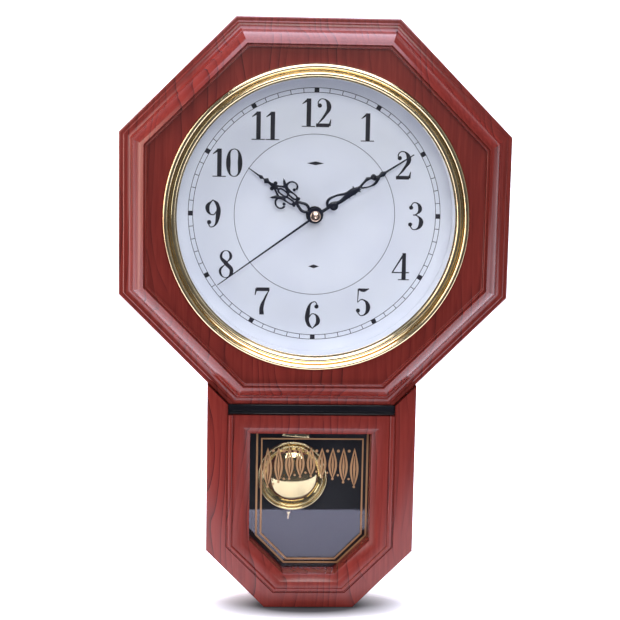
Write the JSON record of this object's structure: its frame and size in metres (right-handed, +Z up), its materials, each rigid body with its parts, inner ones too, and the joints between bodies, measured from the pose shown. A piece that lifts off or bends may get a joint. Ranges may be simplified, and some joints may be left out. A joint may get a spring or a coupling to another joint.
{
  "type": "pendulum wall clock",
  "caption": "Octagonal wood-grain wall clock with a gilt bezel, white numbered dial, scroll hands and a gilt pendulum swinging behind a shaped window.",
  "frame": {"origin": "on the wall plane, at the point of the hanger keyhole that hooks on the wall screw", "axes": "+Z up, -Y out of the wall towards the viewer, +X to the viewer's right"},
  "size_m": [0.31, 0.0703, 0.4754],
  "materials": {
    "woodgrain": "glossy, printed red-brown wood grain",
    "black_plastic": "semi-gloss black",
    "grey_plastic": "matt dark grey",
    "gilt": "vacuum-metallised gold, mirror bright",
    "pendulum_gilt": "metallised polished gold",
    "brass": "polished",
    "steel": "zinc plated",
    "magnet": "sintered ferrite, dull",
    "copper_wire": "enamelled copper winding",
    "dial_white": "satin white",
    "reflector_white": "satin white",
    "clear_glass": "clear float glass",
    "hand_black": "satin black",
    "gear_white": "natural acetal",
    "gear_amber": "amber acetal",
    "board_green": "solder-masked board",
    "cell_jacket": "printed steel jacket",
    "rubber": "matt"
  },
  "bodies": {
    "case": {"head_frame": "woodgrain", "drop_frame": "woodgrain", "trim_bar": "black_plastic", "back_cover": "black_plastic", "hanger_plate": "steel", "hanger_screw_left": "steel", "hanger_screw_right": "steel", "case_screw_head_top_left": "steel", "case_screw_head_top_right": "steel", "case_screw_head_low_left": "steel", "case_screw_head_low_right": "steel", "case_screw_drop_left": "steel", "case_screw_drop_right": "steel", "bezel_ring": "gilt", "dial_lens": "clear_glass", "reflector_ring": "reflector_white", "dial_plate": "dial_white", "dial_screw_upper_right": "steel", "dial_screw_upper_left": "steel", "dial_screw_lower_left": "steel", "dial_screw_lower_right": "steel", "window_glass": "clear_glass", "glass_retainer": "black_plastic", "retainer_screw_left": "steel", "retainer_screw_right": "steel", "movement_case": "grey_plastic", "movement_cover": "grey_plastic", "middle_plate": "gear_white", "bush_washer": "rubber", "bush_nut": "brass", "stator": "steel", "coil": "copper_wire", "circuit_board": "board_green", "crystal": "steel", "contact_plus": "steel", "contact_minus": "steel", "drive_case": "grey_plastic", "drive_cover": "grey_plastic", "drive_coil": "copper_wire", "pivot_pin": "steel", "drive_screw_left": "steel", "drive_screw_right": "steel"},
    "battery": {"battery": "cell_jacket"},
    "rotor": {"rotor": "magnet"},
    "intermediate": {"intermediate_wheel": "gear_amber"},
    "seconds": {"seconds_wheel": "gear_white", "second_hand": "hand_black", "hand_cap": "gilt"},
    "third": {"third_wheel": "gear_amber"},
    "minutes": {"centre_wheel": "gear_white", "minute_hand": "hand_black"},
    "motion": {"motion_wheel": "gear_amber", "set_knob": "black_plastic"},
    "hours": {"hour_wheel": "gear_white", "hour_hand": "hand_black"},
    "pendulum": {"pendulum_lever": "gear_white", "lever_magnet": "magnet", "pendulum_grid": "pendulum_gilt"},
    "bob": {"bob_disc": "pendulum_gilt"},
    "nut": {"rating_nut": "brass"}
  },
  "joints": [
    {"name": "seconds_turn", "type": "hinge", "parent": "case", "child": "seconds", "pos_m": [0, -0.03, -0.128], "axis": [0, 1, 0], "continuous": true},
    {"name": "rotor_turn", "type": "hinge", "parent": "case", "child": "rotor", "pos_m": [0.01221, -0.022, -0.13237], "axis": [0, 1, 0], "continuous": true},
    {"name": "intermediate_turn", "type": "hinge", "parent": "case", "child": "intermediate", "pos_m": [0.007, -0.022, -0.128], "axis": [0, 1, 0], "continuous": true},
    {"name": "third_turn", "type": "hinge", "parent": "case", "child": "third", "pos_m": [0.00134, -0.027, -0.13558], "axis": [0, 1, 0], "continuous": true},
    {"name": "minutes_turn", "type": "hinge", "parent": "case", "child": "minutes", "pos_m": [0, -0.03, -0.128], "axis": [0, 1, 0], "continuous": true},
    {"name": "motion_turn", "type": "hinge", "parent": "case", "child": "motion", "pos_m": [-0.008, -0.025, -0.128], "axis": [0, 1, 0], "continuous": true},
    {"name": "hours_turn", "type": "hinge", "parent": "case", "child": "hours", "pos_m": [0, -0.032, -0.128], "axis": [0, 1, 0], "continuous": true},
    {"name": "pendulum_swing", "type": "hinge", "parent": "case", "child": "pendulum", "pos_m": [0, -0.0178, -0.168], "axis": [0, 1, 0], "range_deg": [-11.3, 2.7]},
    {"name": "bob_slide", "type": "slide", "parent": "pendulum", "child": "bob", "axis": [0.075, 0, 0.9972], "range_m": [-0.003, 0.002]},
    {"name": "nut_turn", "type": "hinge", "parent": "bob", "child": "nut", "pos_m": [-0.0158, -0.0156, -0.37811], "axis": [0.075, 0, 0.9972], "range_deg": [-2165, 1445]},
    {"name": "battery_slide", "type": "slide", "parent": "case", "child": "battery", "axis": [0, 1, 0], "range_m": [0, 0.03]}
  ],
  "couplings": [
    {"joint": "rotor_turn", "follows": "seconds_turn", "ratio": 30},
    {"joint": "intermediate_turn", "follows": "seconds_turn", "ratio": -4},
    {"joint": "third_turn", "follows": "seconds_turn", "ratio": -0.16667},
    {"joint": "minutes_turn", "follows": "seconds_turn", "ratio": 0.016667},
    {"joint": "motion_turn", "follows": "seconds_turn", "ratio": -0.0055556},
    {"joint": "hours_turn", "follows": "seconds_turn", "ratio": 0.0013889},
    {"joint": "nut_turn", "follows": "bob_slide", "rad_per_m": 12566}
  ]
}
